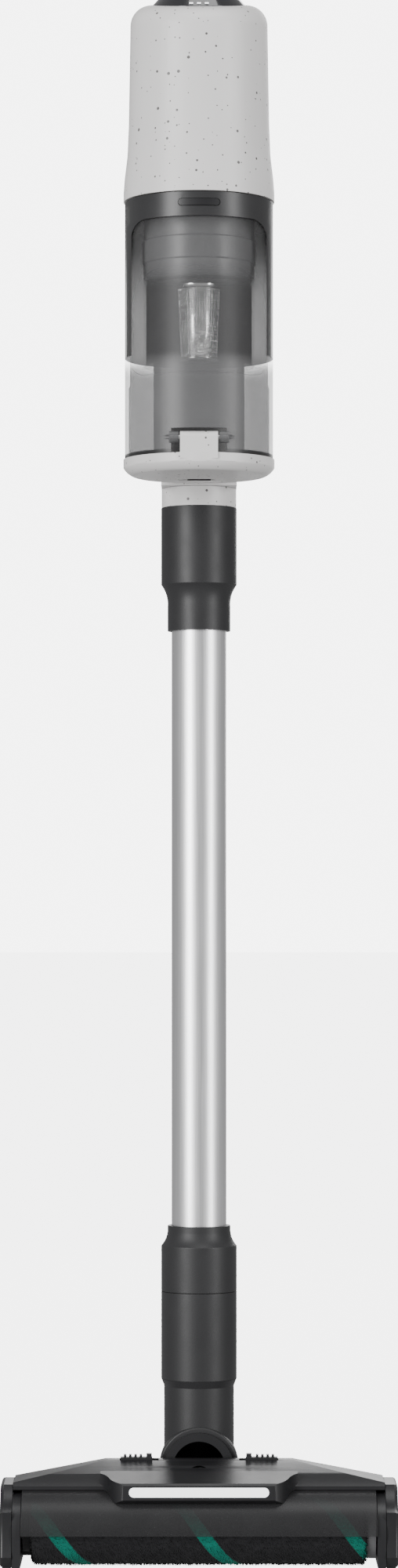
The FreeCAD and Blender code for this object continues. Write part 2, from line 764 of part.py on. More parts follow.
def panel():
    """The sloping control panel with its bright ring, power button and status lights."""
    ring_outer, ring_inner = 16, 13.2
    plate = fuse(tilted_rod(panel_radius, -3, 0.2), tilted_cone(panel_radius, 27, 0.2, 4.5))
    lights = [tilted_box(x - 1.3, x + 1.3, -30.4, -26.5, 1.6, 2.5) for x in (-5.2, 0, 5.2)]
    named(cut(plate, tilted_rod(ring_outer + 0.05, -5, 8), *lights), "control_panel")
    named(group(*lights), "status_lights")
    named(cut(tilted_rod(ring_outer, -3, 5.4), tilted_rod(ring_inner, -5, 8)), "panel_ring")
    named(tilted_rod(ring_inner - 0.35, -1.5, 4.9), "power_button")


def rear_structure():
    """The spine behind the bin that carries the air, its cover, the handle and its pad."""
    wall, seam = 2.6, 6
    high = 1040

    def spine(inset):
        z0, z1 = lid_low - 0.4 + inset, high - inset
        lower = box(-spine_half + inset, spine_half - inset, spine_front + inset, spine_back - inset, z0, z1)
        block = rounded(lower, 10 - inset, lambda edge: edge.CenterOfMass.y > 20 and parallel(edge, Vector(0, 0, 1)))
        saddle = box(-spine_half + inset, spine_half - inset, -53 + inset, 0, 934 + inset, z1 - 6)
        return fuse(block, saddle)

    port = box(-10, 10, -45, 0, 869, 893)
    duct = rod(19, 730, 745)
    slots = [
        box(*span(s, 20, 40), -9, 3, z, z + 2.6) for s in (1, -1) for z in range(950, 1025, 7)
    ]
    casing = cut(spine(0), spine(wall), port, duct, *slots, housing_form(0.35, 14))
    closed = common(casing, box(-60, 60, -60, 40, 700, 1100))
    named(common(closed, box(-60, 60, -60, seam - 0.05, 700, 1100)), "rear_body")
    named(common(casing, box(-60, 60, seam + 0.05, 60, 700, 1100)), "rear_cover")

    loop = side_pad([
        (26.1, dock_high + 0.2), (113, dock_high + 0.2, 14), (126, 884), (handle_back, 1012, 34),
        (96, handle_high), (26.1, handle_high),
    ], -handle_half, handle_half)
    opening = side_pad([
        (54, 886), (86, 886, 12), (98, 898), (98, 998, 14), (84, 1012), (54, 1012, 14), (40, 998), (40, 900, 14),
    ], -30, 30)
    grip_room = side_pad([(102, 892), (122, 892), (125, 1006), (102, 1006)], -11, 11)
    arm_room = box(-11, 11, 38, 96, 1018, 1040)
    handle = cut(loop, opening, grip_room, arm_room)
    soft = rounded(handle, 6, lambda edge: abs(abs(edge.CenterOfMass.x) - 15) < 0.05 and edge.CenterOfMass.y > 28)
    named(soft, "handle")
    pad = box(-9, 9, 95.6, 97.9, 905, 990)
    named(rounded(pad, 2, lambda edge: edge.CenterOfMass.y < 95.7 and parallel(edge, Vector(0, 0, 1))), "grip_pad")


def bin_unit():
    """The dust cup in its frame, the cyclone, the screens and the hinged lid."""
    pane = box(-45.3, 45.3, bin_axis - 66, bin_axis, window_low, window_high)
    front = rounded(pane, 10, lambda edge: parallel(edge, Vector(0, 1, 0)))
    port = box(-10, 10, bin_axis + 36, bin_axis + 61, 869, 893)
    rim = cut(rod(bin_radius, window_high, bin_high, y=bin_axis), rod(46.8, 900, bin_high - 2.5, y=bin_axis))
    legs = cut(
        rod(bin_radius, cup_step + 0.2, window_high, y=bin_axis), rod(48.75, 800, 910, y=bin_axis), front
    )
    pill = pill_bar(13.8, 2.25)
    named(
        cut(fuse(rim, legs), rod(20, 900, 930, y=bin_axis), port, pill_bar(14.1, 2.55)), "bin_frame"
    )
    named(common(pill, cut(rod(bin_radius + 0.5, 900, 930, y=bin_axis), rod(47.6, 890, 940, y=bin_axis))), "bin_button")

    cup = revolved([
        (bin_radius - 2.6, cup_low), (bin_radius, cup_low), (bin_radius, cup_step), (48.6, cup_step),
        (48.6, window_high - 0.3), (46.6, window_high - 0.3), (46.6, window_low - 3), (bin_radius - 2.6, window_low - 5),
    ], bin_axis)
    recess = common(
        cut(rod(60, window_low, cup_step + 1, y=bin_axis), rod(48.6, 700, 900, y=bin_axis)), front
    )
    notch = box(-18.6, 18.6, bin_axis - 59, bin_axis - 34, 740, 765.5)
    ears = [rod(4, *span(s, 13.6, 20), y=hinge_y, z=hinge_z, along="X") for s in (1, -1)]
    pin_hole = rod(1.55, -25, 25, y=hinge_y, z=hinge_z, along="X")
    named(cut(fuse(cut(cup, recess, notch, port), *ears), pin_hole), "dust_cup")
    named(rod(1.5, -19, 19, y=hinge_y, z=hinge_z, along="X"), "lid_pin")

    named(revolved([
        (cyclone_radius - 1.8, cyclone_low), (cyclone_radius, cyclone_low), (cyclone_radius, 880),
        (cyclone_radius + 0.8, 881), (cyclone_radius + 0.8, 895), (cyclone_radius, 896),
        (cyclone_radius, bin_high - 2.7), (14.9, bin_high - 2.7), (14.9, bin_high - 4.5),
        (cyclone_radius - 1.8, bin_high - 4.5), (cyclone_radius - 1.8, 869), (16.2, 869), (16.2, 866.4),
        (cyclone_radius - 1.8, 866.4),
    ], bin_axis), "cyclone_body")
    named(revolved([
        (0, 816), (12.4, 816), (14.6, 864), (16, 864), (16, 869.2), (13.4, 869.2), (13.4, 864), (11.4, 818), (0, 818),
    ], bin_axis), "mesh_screen")
    named(cut(rod(34, 871, 914, y=bin_axis), rod(16.6, 860, 920, y=bin_axis)), "fine_filter")


def pill_bar(half, radius, z=915):
    """A bar with round ends on the front of the bin frame."""
    flat = half - radius
    front, back = bin_axis - 54, bin_axis - 34
    middle = box(-flat, flat, front, back, z - radius, z + radius)
    ends = [rod(radius, front, back, x=s * flat, z=z, along="Y") for s in (1, -1)]
    return fuse(middle, *ends)


def lid_unit():
    """The dish-shaped lid with its tongue, seal and sliding latch."""
    floor = 740.6
    dish = revolved([
        (0, lid_low), (44, lid_low, 12), (lid_radius, 743.6), (lid_radius, cup_low - 0.3), (49.9, cup_low - 0.3),
        (49.9, 747.8), (46.6, 747.8), (46.6, 744), (43.4, floor), (0, floor),
    ], bin_axis)
    tongue = box(-12.6, 12.6, bin_axis - 50.4, bin_axis - 46.4, 745, hinge_z)
    barrel = rod(4, -12.6, 12.6, y=hinge_y, z=hinge_z, along="X")
    case = box(-16, 16, bin_axis + 12, bin_axis + 44, floor - 0.5, 746.4)
    room = box(-14.4, 14.4, bin_axis + 13.6, bin_axis + 42.4, floor, 744.8)
    near, far = bin_axis + 15.4, bin_axis + 36.2
    mouth = plan_pad([(-6, near), (6, near, 10.6), (6, far), (-6, far, 10.6)], 730, 742)
    bore = rod(1.56, -20, 20, y=hinge_y, z=hinge_z, along="X")
    named(cut(fuse(dish, tongue, barrel, case), room, mouth, bore), "bin_lid")
    seal = cut(rod(49.7, 748, cup_low - 0.2, y=bin_axis), rod(47.2, 740, 760, y=bin_axis))
    named(cut(seal, box(-19, 19, bin_axis - 59, bin_axis - 34, 740, 760)), "lid_seal")
    slider = box(-12, 12, bin_axis + 19.5, bin_axis + 41, floor + 0.3, 743.6)
    ridge = box(-8, 8, bin_axis + 29.4, bin_axis + 32.2, lid_low + 0.6, floor + 1)
    named(fuse(slider, ridge), "lid_latch")


def battery():
    """The dock under the handle, the charging socket and the battery that slides into it."""
    upright = Vector(0, 0, 1)

    def block(inset, y0, z0, z1, radius):
        solid = box(-battery_half + inset, battery_half - inset, y0 + inset, battery_back - inset, z0, z1)
        return rounded(solid, radius - inset, lambda edge: parallel(edge, upright))

    socket_y0, socket_z, socket_bore = battery_back - 11, 865, 2.85
    hole = rod(5.05, socket_y0 - 0.2, battery_back + 2, z=socket_z, along="Y")
    named(cut(block(0, as_size(26.2), dock_low, dock_high, 8), hole), "battery_dock")
    barrel = rod(5, socket_y0, battery_back + 0.6, z=socket_z, along="Y")
    named(cut(barrel, rod(socket_bore, socket_y0 + 1.6, battery_back + 2, z=socket_z, along="Y")), "charge_socket")

    wall = 2
    case_high = dock_low - 0.3
    case = cut(
        block(0, battery_front, battery_low, case_high, 8),
        block(wall, battery_front, battery_low + wall, case_high - wall, 8),
        box(-10.3, 10.3, battery_back - 3, battery_back + 5, 842.7, 851.3),
    )
    named(case, "battery_case")
    named(box(-10, 10, battery_back - 3.5, battery_back + 0.8, 843, 851), "battery_button")
    spots = [(-19.4, 54), (0, 54), (19.4, 54), (-9.7, 71), (9.7, 71)]
    named(group(*[rod(cell_radius, 776, 841, x, y) for x, y in spots]), "battery_cells")


motor_unit()
panel()
rear_structure()
bin_unit()
lid_unit()
battery()


# ---- export -------------------------------------------------------------------------------
def write_parts():
    """Checks every object, then writes one STEP file for each sub-part."""
    doc.recompute()
    broken = [item.Label for item in doc.Objects if {"Invalid", "Error"} & set(item.State)]
    for item in subparts:
        if item.Shape.isNull() or not item.Shape.isValid():
            broken.append(item.Label)
    if broken:
        raise RuntimeError(f"these objects did not build: {broken}")
    os.makedirs("parts", exist_ok=True)
    for item in subparts:
        item.Shape.exportStep(f"parts/{item.Label}.step")
        low, high = item.Shape.BoundBox, item.Shape.Volume
        print(f"{item.Label:18} {len(item.Shape.Solids)} {high:10.0f} mm3  "
              f"x {low.XMin:.1f}..{low.XMax:.1f} y {low.YMin:.1f}..{low.YMax:.1f} z {low.ZMin:.1f}..{low.ZMax:.1f}")
    print(f"{len(subparts)} sub-parts")


write_parts()
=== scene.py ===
# Cordless stick vacuum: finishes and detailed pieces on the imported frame
import json
import math

import bmesh
import bpy
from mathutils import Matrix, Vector
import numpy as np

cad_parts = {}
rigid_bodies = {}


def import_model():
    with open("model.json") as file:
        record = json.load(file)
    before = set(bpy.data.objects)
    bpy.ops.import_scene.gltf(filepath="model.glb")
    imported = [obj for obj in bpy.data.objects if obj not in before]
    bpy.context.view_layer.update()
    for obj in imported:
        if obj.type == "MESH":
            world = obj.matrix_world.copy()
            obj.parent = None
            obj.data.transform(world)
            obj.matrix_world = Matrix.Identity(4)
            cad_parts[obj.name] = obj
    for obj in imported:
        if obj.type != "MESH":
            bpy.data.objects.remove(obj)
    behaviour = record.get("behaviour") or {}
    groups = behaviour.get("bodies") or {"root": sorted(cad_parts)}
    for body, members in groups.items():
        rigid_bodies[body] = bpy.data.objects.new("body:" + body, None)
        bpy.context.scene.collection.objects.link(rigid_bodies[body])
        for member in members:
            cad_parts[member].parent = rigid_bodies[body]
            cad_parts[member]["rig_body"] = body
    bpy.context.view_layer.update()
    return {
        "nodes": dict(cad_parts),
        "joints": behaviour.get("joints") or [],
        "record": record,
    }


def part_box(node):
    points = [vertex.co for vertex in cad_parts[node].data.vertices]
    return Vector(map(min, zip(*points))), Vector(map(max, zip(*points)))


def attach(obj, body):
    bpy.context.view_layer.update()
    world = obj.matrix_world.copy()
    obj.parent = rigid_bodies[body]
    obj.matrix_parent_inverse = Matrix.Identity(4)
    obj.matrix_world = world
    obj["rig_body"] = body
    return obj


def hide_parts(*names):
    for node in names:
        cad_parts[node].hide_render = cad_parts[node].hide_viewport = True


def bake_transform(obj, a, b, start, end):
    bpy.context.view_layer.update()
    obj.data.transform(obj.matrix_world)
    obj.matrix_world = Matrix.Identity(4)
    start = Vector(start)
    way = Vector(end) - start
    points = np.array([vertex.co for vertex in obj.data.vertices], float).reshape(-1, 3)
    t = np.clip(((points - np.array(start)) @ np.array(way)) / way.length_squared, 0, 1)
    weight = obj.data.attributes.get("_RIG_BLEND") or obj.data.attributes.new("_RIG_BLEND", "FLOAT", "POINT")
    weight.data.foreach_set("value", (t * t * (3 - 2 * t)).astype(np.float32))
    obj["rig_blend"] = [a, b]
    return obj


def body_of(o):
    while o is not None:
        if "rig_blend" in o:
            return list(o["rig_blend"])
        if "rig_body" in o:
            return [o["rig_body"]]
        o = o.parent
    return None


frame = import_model()
nodes = frame["nodes"]
joints = {joint["name"]: joint for joint in frame["joints"]}
print("frame loaded:", len(nodes), "nodes")


class Wire:
    # a socket whose sums, differences and products add Math nodes
    def __init__(self, finish, socket):
        self.finish = finish
        self.socket = socket

    def maths(self, operation, first, second=None):
        node = self.finish.put("ShaderNodeMath", {"operation": operation}, {0: first, 1: second})
        return Wire(self.finish, node.outputs[0])

    def __add__(self, other):
        return self.maths("ADD", self, other)

    def __radd__(self, other):
        return self.maths("ADD", other, self)

    def __sub__(self, other):
        return self.maths("SUBTRACT", self, other)

    def __rsub__(self, other):
        return self.maths("SUBTRACT", other, self)

    def __mul__(self, other):
        return self.maths("MULTIPLY", self, other)

    def __rmul__(self, other):
        return self.maths("MULTIPLY", other, self)

    def __truediv__(self, other):
        return self.maths("DIVIDE", self, other)

    def __lt__(self, other):
        return self.maths("LESS_THAN", self, other)

    def __gt__(self, other):
        return self.maths("GREATER_THAN", self, other)

    def __mod__(self, other):
        return self.maths("FLOORED_MODULO", self, other)

    def smooth(self, low, high):
        # 0 below low, 1 above high, with a soft change between
        node = self.finish.put(
            "ShaderNodeMapRange", {"interpolation_type": "SMOOTHSTEP"},
            {"Value": self, "From Min": low, "From Max": high},
        )
        return Wire(self.finish, node.outputs[0])


class Finish:
    # one material, whose nodes all come from put()
    def __init__(self, name, **shader):
        self.material = bpy.data.materials.new(name)
        self.material.use_nodes = True
        self.tree = self.material.node_tree
        self.shader = self.tree.nodes["Principled BSDF"]
        self.set(**shader)

    def put(self, kind, settings=None, sockets=None):
        node = self.tree.nodes.new(kind)
        for key, value in (settings or {}).items():
            if key == "stops":
                for stop, (position, colour) in zip(node.color_ramp.elements, value):
                    stop.position, stop.color = position, colour
            else:
                setattr(node, key, value)
        for key, value in (sockets or {}).items():
            self.feed(node.inputs[key], value)
        return node

    def feed(self, socket, value):
        if value is None:
            return
        if isinstance(value, Wire):
            value = value.socket
        if isinstance(value, bpy.types.NodeSocket):
            self.tree.links.new(value, socket)
        elif hasattr(socket.default_value, "__len__") and len(value) == 3 and len(socket.default_value) == 4:
            socket.default_value = (*value, 1)
        else:
            socket.default_value = value

    def set(self, **sockets):
        # baseColor=... goes to the shader's "Base Color", and so on
        for key, value in sockets.items():
            words = "".join(" " + c if c.isupper() else c for c in key).strip()
            label = (words[0].upper() + words[1:]).replace("Ior", "IOR")
            self.feed(self.shader.inputs[label], value)

    def place(self, stretch=(1, 1, 1), shift=(0, 0, 0)):
        here = self.put("ShaderNodeTexCoord").outputs["Object"]
        mapping = self.put("ShaderNodeMapping", None, {"Vector": here, "Scale": stretch, "Location": shift})
        return mapping.outputs[0]

    def axes(self):
        here = self.put("ShaderNodeTexCoord").outputs["Object"]
        parts = self.put("ShaderNodeSeparateXYZ", None, {0: here})
        return [Wire(self, output) for output in parts.outputs]

    def noise(self, scale, detail=2, stretch=(1, 1, 1), roughness=0.5):
        node = self.put("ShaderNodeTexNoise", None, {
            "Vector": self.place(stretch), "Scale": scale, "Detail": detail, "Roughness": roughness,
        })
        return Wire(self, node.outputs[0])

    def mix(self, amount, low, high):
        # a colour between low and high
        node = self.put("ShaderNodeMix", {"data_type": "RGBA"})
        self.feed(node.inputs[0], amount)
        self.feed(node.inputs[6], low)
        self.feed(node.inputs[7], high)
        return node.outputs[2]

    def bump(self, height, strength, distance):
        sockets = {"Height": height, "Strength": strength, "Distance": distance}
        node = self.put("ShaderNodeBump", None, sockets)
        self.set(normal=node.outputs[0])


def grain(finish, low, high, scale=1600, strength=0.12, patch=70):
    # moulded texture: a fine bump, with roughness that drifts between low and high
    finish.set(roughness=low + finish.noise(patch, 3) * (high - low))
    finish.bump(finish.noise(scale, 2), strength, 0.0003)


def speckledPlastic():
    look = {
        "body": (0.60, 0.59, 0.585), "warm": (0.55, 0.54, 0.535), "speck": (0.030, 0.027, 0.025),
        "drift": 9, "depth": 0.88, "layers": ((150, 0.60, 0.17), (315, 0.74, 0.18)),
    }
    finish = Finish("paleSpeckledPlastic", specularIorLevel=0.45)
    specks = 0
    for scale, rarity, size in look["layers"]:
        cell = finish.put("ShaderNodeTexVoronoi", None, {"Vector": finish.place(), "Scale": scale})
        split = finish.put("ShaderNodeSeparateColor", None, {0: cell.outputs["Color"]})
        luck = Wire(finish, split.outputs[0])
        near = Wire(finish, cell.outputs["Distance"])
        specks = specks + (near < luck * size) * (luck > rarity)
    ground = finish.mix(finish.noise(look["drift"], 3), look["body"], look["warm"])
    finish.set(baseColor=finish.mix(specks * look["depth"], ground, look["speck"]))
    grain(finish, 0.36, 0.50, 1300, 0.10)
    return finish.material


def darkPlastic(name, colour, low, high, strength=0.14, coat=0.0):
    finish = Finish(name, coatWeight=coat, coatRoughness=0.22, specularIorLevel=0.34)
    look = {"clouds": 28, "scuffs": 340, "stretch": (1, 0.12, 1), "rare": (0.66, 0.74), "faint": 0.35}
    lighter = tuple(c * 1.3 + 0.002 for c in colour)
    rubbed = tuple(c * 2 + 0.006 for c in colour)
    ground = finish.mix(finish.noise(look["clouds"], 4), colour, lighter)
    scuff = finish.noise(look["scuffs"], 5, look["stretch"], 0.7).smooth(*look["rare"]) * look["faint"]
    finish.set(baseColor=finish.mix(scuff, ground, rubbed))
    grain(finish, low, high, 1900, strength)
    return finish.material


def satinTube():
    look = {"streaks": 1400, "stretch": (1, 1, 0.012), "low": (0.70, 0.70, 0.71), "high": (0.82, 0.82, 0.83)}
    finish = Finish("satinAluminium", metallic=1.0)
    streak = finish.noise(look["streaks"], 3, look["stretch"])
    finish.set(baseColor=finish.mix(streak, look["low"], look["high"]))
    finish.set(roughness=0.30 + streak * 0.12 + finish.noise(14, 2) * 0.05)
    finish.bump(streak, 0.10, 0.0002)
    return finish.material


def brightTrim():
    look = {"haze": 90, "low": (0.78, 0.78, 0.79), "high": (0.88, 0.88, 0.89)}
    finish = Finish("polishedTrim", metallic=1.0)
    haze = finish.noise(look["haze"], 3)
    finish.set(baseColor=finish.mix(haze, look["low"], look["high"]), roughness=0.08 + haze * 0.10)
    return finish.material


def plainSteel(name="plainSteel", tone=0.55, smooth=0.26):
    finish = Finish(name, metallic=1.0)
    wear = finish.noise(260, 4)
    low, high = (tone, tone, tone * 1.01), (tone * 1.3, tone * 1.3, tone * 1.28)
    finish.set(baseColor=finish.mix(wear, low, high))
    finish.set(roughness=smooth + wear * 0.22)
    return finish.material


def smokedPlastic(name, colour, alphas, heights, low, high, dark=None):
    # tinted clear plastic: alphas go from the first to the second between the two heights
    look = {"haze": 45, "patchy": 0.04, "rimAlpha": 0.94, "rimShade": 0.10}
    finish = Finish(name, specularIorLevel=0.4)
    height = finish.axes()[2]
    haze = finish.noise(look["haze"], 3)
    rise = height.smooth(*heights)
    cover = alphas[0] + rise * (alphas[1] - alphas[0]) + haze * look["patchy"]
    ground = finish.mix(haze, colour, tuple(c * 1.2 for c in colour))
    if dark:
        edge = 1 - height.smooth(*dark)  # a dense rim along the lower edge
        cover = cover + edge * (look["rimAlpha"] - alphas[0])
        ground = finish.mix(edge, ground, tuple(c * look["rimShade"] for c in colour))
    finish.set(baseColor=ground, alpha=cover, roughness=low + haze * (high - low))
    finish.bump(finish.noise(900, 2), 0.03, 0.0002)
    return finish.material


def glossBlack():
    look = {"dust": 1800, "rare": (0.70, 0.78), "black": (0.012, 0.012, 0.014), "grey": (0.08, 0.08, 0.085)}
    finish = Finish("glossBlackPanel", coatWeight=0.6, coatRoughness=0.05)
    dust = finish.noise(look["dust"], 4).smooth(*look["rare"])
    finish.set(baseColor=finish.mix(dust * 0.25, look["black"], look["grey"]))
    finish.set(roughness=0.10 + finish.noise(60, 3) * 0.12)
    return finish.material


def softRubber():
    look = {"mottle": 120, "low": (0.022, 0.022, 0.023), "high": (0.0418, 0.0418, 0.0437)}
    finish = Finish("softRubber")
    mottled = finish.noise(look["mottle"], 4)
    finish.set(baseColor=finish.mix(mottled, look["low"], look["high"]))
    finish.set(roughness=0.62 + mottled * 0.2)
    finish.bump(finish.noise(2400, 2), 0.2, 0.0003)
    return finish.material


def glowLens():
    look = {
        "ribs": 520, "ribDepth": 0.35, "glow": (1.0, 1.0, 1.0), "shade": (0.78, 0.84, 0.90),
        "low": (0.86, 0.88, 0.90), "high": (0.95, 0.95, 0.95),
    }
    finish = Finish("milkyLens", emissionStrength=1.5)
    across = finish.axes()[0]
    ribs = (across * look["ribs"] % 1.0).smooth(0.2, 0.8)
    edge = finish.noise(40, 2)
    finish.set(baseColor=finish.mix(edge, look["low"], look["high"]), roughness=0.25 + edge * 0.1)
    finish.set(emissionColor=finish.mix(ribs * look["ribDepth"], look["glow"], look["shade"]))
    return finish.material


def pileFibre(stripe):
    # dark pile with green stripes wound about the roller's own axis
    look = {
        "soft": 0.012, "strands": 2600, "blacks": ((0.004, 0.004, 0.0045), (0.022, 0.022, 0.024)),
        "greens": ((0.0, 0.070, 0.050), (0.0, 0.200, 0.145)),
    }
    axis = joints["roller_spin"]["pos_m"]
    finish = Finish("rollerPile", sheenWeight=0.08, sheenRoughness=0.4, specularIorLevel=0.2)
    across, depth, height = finish.axes()
    angle = finish.put("ShaderNodeMath", {"operation": "ARCTAN2"}, {0: depth - axis[1], 1: height - axis[2]})
    turns = Wire(finish, angle.outputs[0]) / (2 * math.pi)
    along = (across + stripe["start"]) / stripe["pitch"]
    phase = (along + turns * stripe["hand"] + finish.noise(900, 2) * look["soft"]) % 1.0
    share = stripe["width"] / stripe["pitch"]
    band = phase.smooth(0, look["soft"]) * (1 - phase.smooth(share - look["soft"], share))
    strands = finish.noise(look["strands"], 3, (1, 0.3, 0.3))
    dark, green = finish.mix(strands, *look["blacks"]), finish.mix(strands, *look["greens"])
    finish.set(baseColor=finish.mix(band, dark, green), roughness=0.75 + strands * 0.2)
    finish.bump(strands, 0.6, 0.0006)
    return finish.material


def filterPaper():
    look = {"fibres": 700, "low": (0.62, 0.61, 0.57), "high": (0.85, 0.84, 0.80)}
    finish = Finish("filterPaper")
    fibres = finish.noise(look["fibres"], 5)
    finish.set(baseColor=finish.mix(fibres, look["low"], look["high"]), roughness=0.85 + fibres * 0.1)
    finish.bump(fibres, 0.3, 0.0003)
    return finish.material


def cellWrap():
    look = {"wrapEnd": 0.836, "low": (0.02, 0.17, 0.14), "high": (0.04, 0.26, 0.21), "cap": (0.6, 0.6, 0.6)}
    finish = Finish("cellWrap", coatWeight=0.3)
    bare = finish.axes()[2] > look["wrapEnd"]
    scuff = finish.noise(180, 4)
    wrap = finish.mix(scuff, look["low"], look["high"])
    finish.set(baseColor=finish.mix(bare, wrap, look["cap"]), roughness=0.3 + scuff * 0.2)
    return finish.material


def innerMoulding():
    finish = Finish("innerMoulding")
    flow = finish.noise(35, 4, (1, 1, 0.4))
    finish.set(baseColor=finish.mix(flow, (0.11, 0.11, 0.115), (0.20, 0.20, 0.205)))
    grain(finish, 0.4, 0.6, 1200, 0.12)
    return finish.material


def motorShell():
    look = {"sheets": 1100, "low": (0.20, 0.20, 0.21), "high": (0.42, 0.41, 0.40)}
    finish = Finish("motorShell", metallic=0.85)
    sheets = (finish.axes()[2] * look["sheets"] % 1.0).smooth(0.3, 0.7)
    finish.set(baseColor=finish.mix(sheets, look["low"], look["high"]))
    finish.set(roughness=0.32 + finish.noise(120, 3) * 0.2)
    return finish.material


finishes = {
    "pale": speckledPlastic(),
    "collar": darkPlastic("charcoalPlastic", (0.015, 0.015, 0.016), 0.40, 0.54),
    "dark": darkPlastic("satinBlackPlastic", (0.009, 0.009, 0.010), 0.32, 0.44, 0.10, 0.05),
    "tube": satinTube(),
    "trim": brightTrim(),
    "steel": plainSteel(),
    "screen": plainSteel("perforatedSteel", 0.80, 0.12),
    "cup": smokedPlastic(
        "smokedCup", (0.105, 0.105, 0.107), (0.54, 0.13), (0.806, 0.818), 0.32, 0.44, (0.7512, 0.7526),
    ),
    "rim": smokedPlastic("smokedFrame", (0.022, 0.022, 0.023), (0.70, 0.92), (0.85, 0.915), 0.30, 0.40),
    "cyclone": smokedPlastic("smokedCyclone", (0.10, 0.10, 0.102), (0.09, 0.82), (0.862, 0.880), 0.30, 0.42),
    "window": smokedPlastic("smokedWindow", (0.020, 0.020, 0.021), (0.40, 0.62), (0.025, 0.05), 0.34, 0.44),
    "panel": glossBlack(),
    "rubber": softRubber(),
    "lens": glowLens(),
    "pile": pileFibre({"pitch": 0.100, "width": 0.0118, "start": 0.027, "hand": 1}),
    "paper": filterPaper(),
    "inner": innerMoulding(),
    "cells": cellWrap(),
    "motor": motorShell(),
}
finishOfSlot = {
    "dark_plastic": "dark", "pale_speckled": "pale", "smoked_clear": "cup", "collar_grey": "collar",
    "wand_metal": "tube", "bright_trim": "trim", "screen_metal": "screen", "pile_dark": "pile",
    "pile_green": "pile", "rubber_black": "rubber", "lens_white": "lens", "panel_gloss": "panel",
    "steel": "steel",
    "filter_pleat": "paper", "inner_grey": "inner", "cell_wrap": "cells", "motor_shell": "motor",
}
finishOfNode = {"bin_frame": "rim", "cyclone_body": "cyclone", "roller_window": "window"}
for part in frame["record"]["subparts"]:
    name = part["node"]
    key = finishOfNode.get(name) or finishOfSlot[part["material_slot"]]
    for materialSlot in nodes[name].material_slots:
        materialSlot.material = finishes[key]
print("finishes:", len(finishes))


def newPiece(name, vertices, faces, finish, smooth=True):
    mesh = bpy.data.meshes.new(name)
    mesh.from_pydata([tuple(v) for v in vertices], [], faces)
    work = bmesh.new()
    work.from_mesh(mesh)
    bmesh.ops.remove_doubles(work, verts=work.verts, dist=1e-6)
    bmesh.ops.recalc_face_normals(work, faces=work.faces)
    for face in work.faces:
        face.smooth = smooth
    work.to_mesh(mesh)
    work.free()
    mesh.materials.append(finishes[finish])
    piece = bpy.data.objects.new(name, mesh)
    bpy.context.scene.collection.objects.link(piece)
    return piece


def ringGrid(rows, around, point):
    # closed loops joined one after another: point(row, step) gives each place
    vertices = [point(row, step) for row in range(rows) for step in range(around)]
    faces = []
    for row in range(rows - 1):
        for step in range(around):
            after = (step + 1) % around
            a, b = row * around + step, row * around + after
            faces.append((a, b, b + around, a + around))
    return vertices, faces


def closedRing(rows, around, point):
    # like ringGrid, with the last loop joined to the first, as on a tube with a wall
    vertices, faces = ringGrid(rows, around, point)
    last = (rows - 1) * around
    for step in range(around):
        after = (step + 1) % around
        faces.append((last + step, last + after, after, step))
    return vertices, faces


class Recipe:
    # a geometry node tree with named inputs
    def __init__(self, name, inputs):
        self.group = bpy.data.node_groups.new(name, "GeometryNodeTree")
        sockets = self.group.interface
        sockets.new_socket("Geometry", in_out="INPUT", socket_type="NodeSocketGeometry")
        self.keys = {}
        for label, (kind, value) in inputs.items():
            socket = sockets.new_socket(label, in_out="INPUT", socket_type=kind)
            socket.default_value = value
            self.keys[label] = socket.identifier
        sockets.new_socket("Geometry", in_out="OUTPUT", socket_type="NodeSocketGeometry")
        self.entry = self.group.nodes.new("NodeGroupInput")
        self.exit = self.group.nodes.new("NodeGroupOutput")

    def put(self, kind, settings=None, sockets=None):
        node = self.group.nodes.new(kind)
        for key, value in (settings or {}).items():
            setattr(node, key, value)
        for key, value in (sockets or {}).items():
            for item in value if isinstance(value, list) else [value]:
                if isinstance(item, str):
                    item = self.entry.outputs[item]
                if isinstance(item, bpy.types.NodeSocket):
                    self.group.links.new(item, node.inputs[key])
                else:
                    node.inputs[key].default_value = item
        return node

    def end(self, geometry, finish):
        real = self.put("GeometryNodeRealizeInstances", None, {"Geometry": geometry})
        sockets = {"Geometry": real.outputs[0], "Material": finishes[finish]}
        painted = self.put("GeometryNodeSetMaterial", None, sockets)
        self.group.links.new(painted.outputs[0], self.exit.inputs[0])

    def grow(self, base, name, finish, **values):
        # runs the tree on base and leaves a plain mesh in its place
        modifier = base.modifiers.new("recipe", "NODES")
        modifier.node_group = self.group
        for label, value in values.items():
            modifier[self.keys[label]] = value
        evaluated = base.evaluated_get(bpy.context.evaluated_depsgraph_get())
        mesh = bpy.data.meshes.new_from_object(evaluated)
        base.modifiers.remove(modifier)
        bpy.data.objects.remove(base)
        mesh.name = name
        mesh.materials.clear()
        mesh.materials.append(finishes[finish])
        piece = bpy.data.objects.new(name, mesh)
        bpy.context.scene.collection.objects.link(piece)
        return piece


